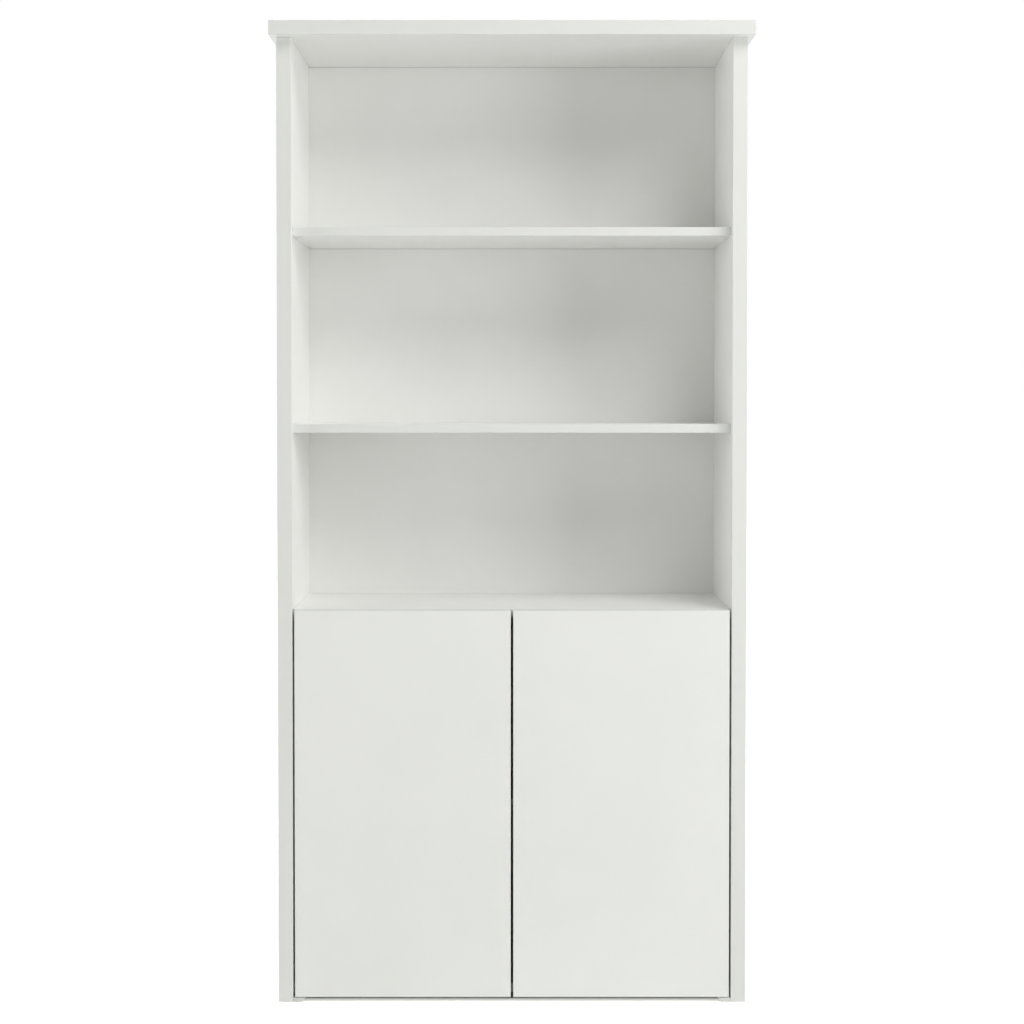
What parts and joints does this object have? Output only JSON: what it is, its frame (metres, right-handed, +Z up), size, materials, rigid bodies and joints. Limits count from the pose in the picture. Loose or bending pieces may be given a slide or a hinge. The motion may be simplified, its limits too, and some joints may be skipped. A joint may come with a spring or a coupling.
{
  "type": "bookcase with cabinet doors",
  "caption": "Tall white bookcase: open compartments with thin shelves over a cabinet closed by two plain inset doors, under an overhanging top.",
  "frame": {"origin": "on the floor, at the middle of the bounding box in X and Y", "axes": "+X to the viewer's right, -Y towards the viewer (the doors' side), +Z up"},
  "size_m": [0.884, 0.324, 1.8],
  "materials": {
    "white_board": "white melamine-faced board, fine satin texture",
    "back_board": "white lacquered hardboard, matt",
    "hinge_steel": "nickel-plated pressed steel",
    "zinc_fitting": "dull zinc casting and steel",
    "white_plastic": "moulded, satin"
  },
  "bodies": {
    "carcass": {"top_panel": "white_board", "left_side_panel": "white_board", "right_side_panel": "white_board", "upper_shelf": "white_board", "middle_shelf": "white_board", "cabinet_top_panel": "white_board", "cabinet_inner_shelf": "white_board", "cabinet_bottom_panel": "white_board", "back_panel": "back_board", "left_upper_hinge_arm": "hinge_steel", "left_lower_hinge_arm": "hinge_steel", "right_upper_hinge_arm": "hinge_steel", "right_lower_hinge_arm": "hinge_steel", "left_upper_hinge_plate": "zinc_fitting", "left_lower_hinge_plate": "zinc_fitting", "right_upper_hinge_plate": "zinc_fitting", "right_lower_hinge_plate": "zinc_fitting", "left_latch_housing": "white_plastic", "right_latch_housing": "white_plastic", "left_front_foot": "white_plastic", "left_rear_foot": "white_plastic", "right_front_foot": "white_plastic", "right_rear_foot": "white_plastic", "upper_shelf_left_front_pin": "zinc_fitting", "upper_shelf_left_rear_pin": "zinc_fitting", "upper_shelf_right_front_pin": "zinc_fitting", "upper_shelf_right_rear_pin": "zinc_fitting", "middle_shelf_left_front_pin": "zinc_fitting", "middle_shelf_left_rear_pin": "zinc_fitting", "middle_shelf_right_front_pin": "zinc_fitting", "middle_shelf_right_rear_pin": "zinc_fitting", "inner_shelf_left_front_pin": "zinc_fitting", "inner_shelf_left_rear_pin": "zinc_fitting", "inner_shelf_right_front_pin": "zinc_fitting", "inner_shelf_right_rear_pin": "zinc_fitting", "top_left_front_cam": "zinc_fitting", "top_left_rear_cam": "zinc_fitting", "top_right_front_cam": "zinc_fitting", "top_right_rear_cam": "zinc_fitting", "cabinet_top_left_front_cam": "zinc_fitting", "cabinet_top_left_rear_cam": "zinc_fitting", "cabinet_top_right_front_cam": "zinc_fitting", "cabinet_top_right_rear_cam": "zinc_fitting", "cabinet_bottom_left_front_cam": "zinc_fitting", "cabinet_bottom_left_rear_cam": "zinc_fitting", "cabinet_bottom_right_front_cam": "zinc_fitting", "cabinet_bottom_right_rear_cam": "zinc_fitting"},
    "left_door_body": {"left_door": "white_board", "left_upper_hinge_cup": "hinge_steel", "left_lower_hinge_cup": "hinge_steel", "left_latch_strike": "hinge_steel"},
    "left_plunger_body": {"left_latch_plunger": "white_plastic"},
    "right_door_body": {"right_door": "white_board", "right_upper_hinge_cup": "hinge_steel", "right_lower_hinge_cup": "hinge_steel", "right_latch_strike": "hinge_steel"},
    "right_plunger_body": {"right_latch_plunger": "white_plastic"}
  },
  "joints": [
    {"name": "left_door_hinge", "type": "hinge", "parent": "carcass", "child": "left_door_body", "pos_m": [-0.391, -0.1303, 0.367], "axis": [0, 0, -1], "range_deg": [0, 100]},
    {"name": "right_door_hinge", "type": "hinge", "parent": "carcass", "child": "right_door_body", "pos_m": [0.391, -0.1303, 0.367], "axis": [0, 0, 1], "range_deg": [0, 100]},
    {"name": "left_latch_slide", "type": "slide", "parent": "carcass", "child": "left_plunger_body", "axis": [0, -1, 0], "range_m": [0, 0.02]},
    {"name": "right_latch_slide", "type": "slide", "parent": "carcass", "child": "right_plunger_body", "axis": [0, -1, 0], "range_m": [0, 0.02]}
  ],
  "couplings": [
    {"joint": "left_latch_slide", "follows": "left_door_hinge", "m_per_rad": 0.01145},
    {"joint": "right_latch_slide", "follows": "right_door_hinge", "m_per_rad": 0.01145}
  ]
}
